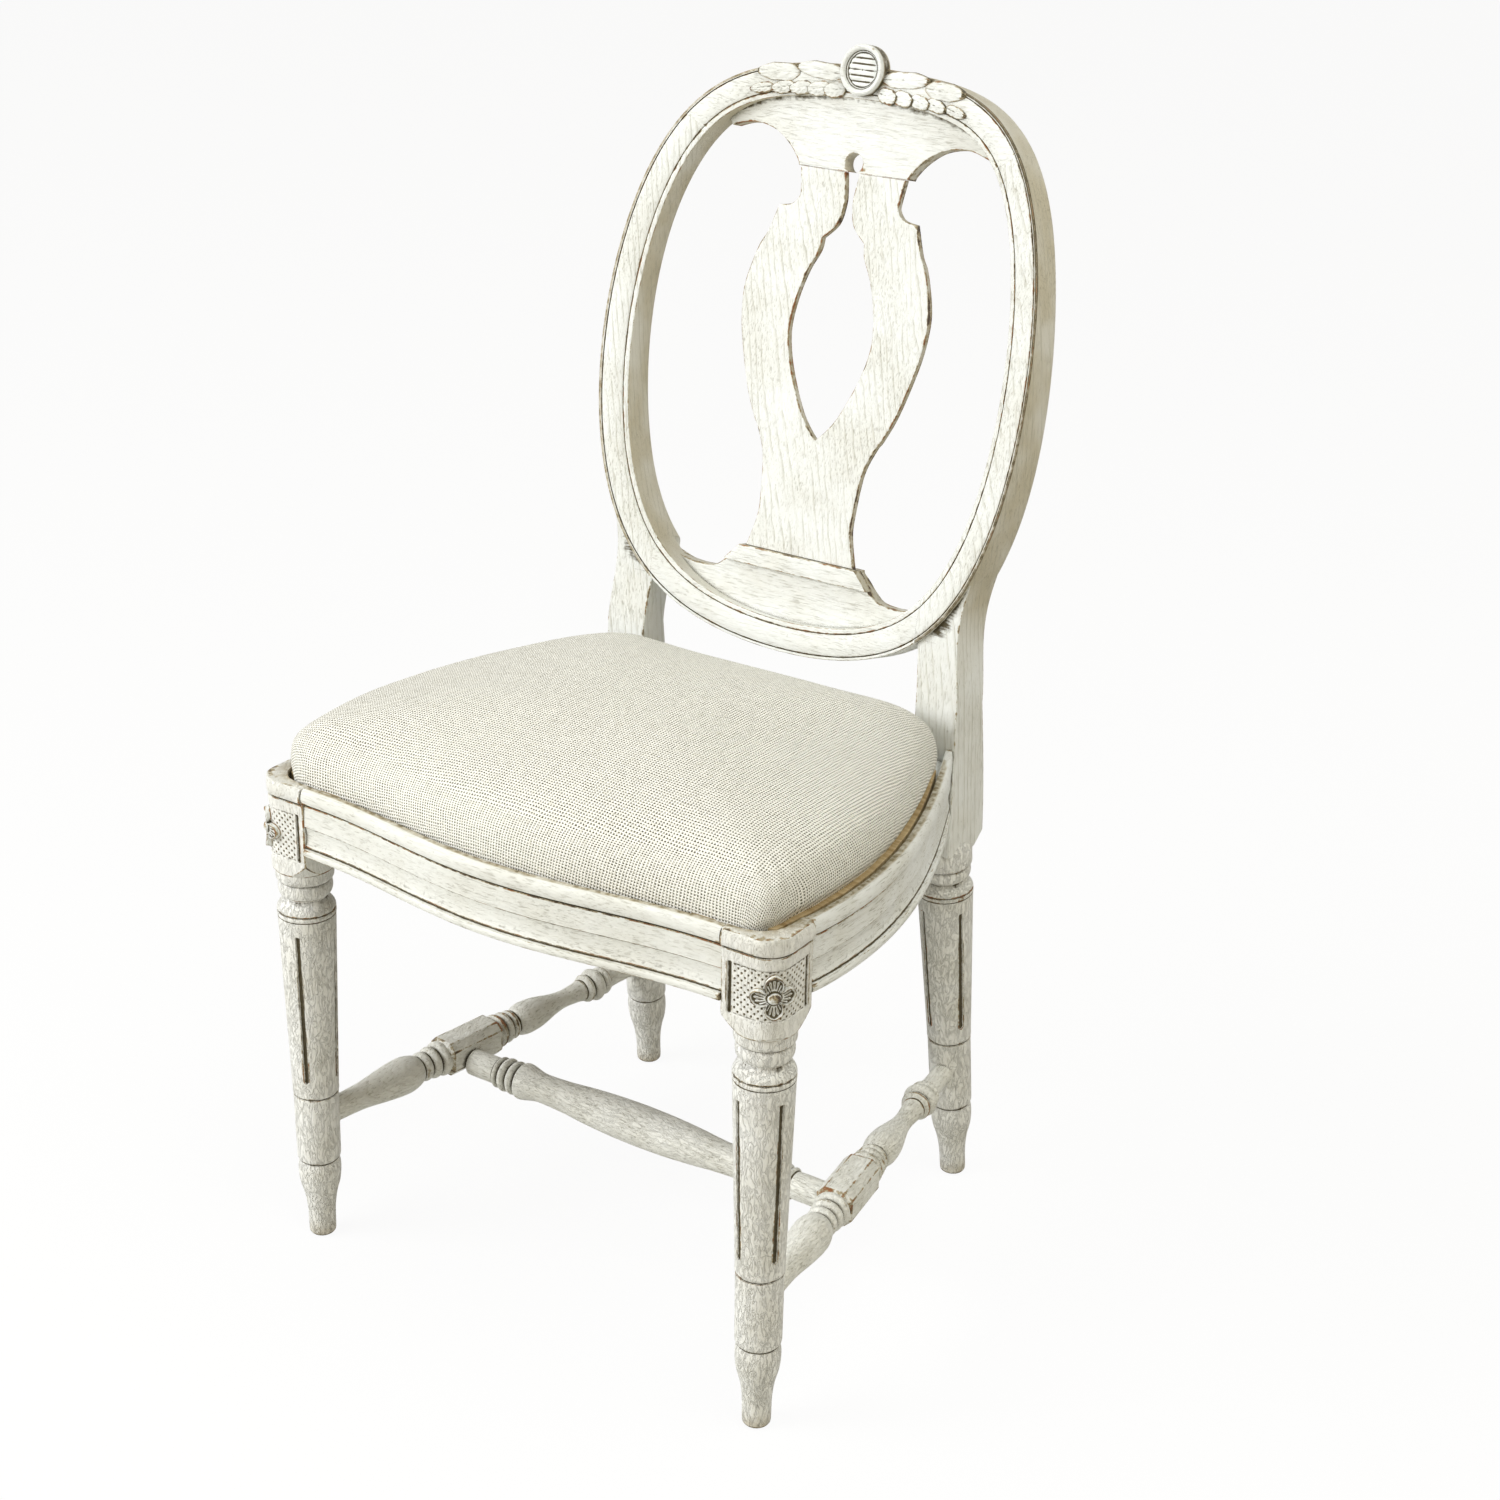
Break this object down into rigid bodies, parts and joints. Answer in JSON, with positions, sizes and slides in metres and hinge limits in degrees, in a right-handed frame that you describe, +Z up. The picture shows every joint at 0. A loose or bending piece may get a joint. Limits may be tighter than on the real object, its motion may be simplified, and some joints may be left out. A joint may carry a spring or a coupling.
{
  "type": "dining chair",
  "caption": "Painted wooden side chair with a pierced splat in an oval back, turned fluted legs, an H stretcher and a lift-out upholstered seat.",
  "frame": {"origin": "on the floor, under the middle of the chair's bounding box", "axes": "+Z up, the front of the seat faces -Y, +X to the right of someone who looks at the front"},
  "size_m": [0.5114, 0.5416, 0.9785],
  "materials": {
    "painted_wood": "distressed off-white paint, satin",
    "raw_wood": "unpainted",
    "plywood": "unpainted",
    "linen": "plain weave",
    "foam": "open foam",
    "dust_cloth": "thin cloth"
  },
  "bodies": {
    "frame": {"back_splat": "painted_wood", "crest_cartouche": "painted_wood", "crest_rail": "painted_wood", "cross_stretcher": "painted_wood", "front_corner_block_left": "raw_wood", "front_corner_block_right": "raw_wood", "front_leg_left": "painted_wood", "front_leg_right": "painted_wood", "front_rail": "painted_wood", "lower_back_rail": "painted_wood", "rear_corner_block_left": "raw_wood", "rear_corner_block_right": "raw_wood", "rear_post_left": "painted_wood", "rear_post_right": "painted_wood", "rear_rail": "painted_wood", "rosette_left": "painted_wood", "rosette_right": "painted_wood", "side_rail_left": "painted_wood", "side_rail_right": "painted_wood", "side_stretcher_left": "painted_wood", "side_stretcher_right": "painted_wood"},
    "seat": {"seat_board": "plywood", "seat_cover": "linen", "seat_foam": "foam", "seat_dust_cover": "dust_cloth"}
  },
  "joints": [
    {"name": "seat_lift", "type": "slide", "parent": "frame", "child": "seat", "axis": [0, 0, 1], "range_m": [0, 0.12]}
  ]
}
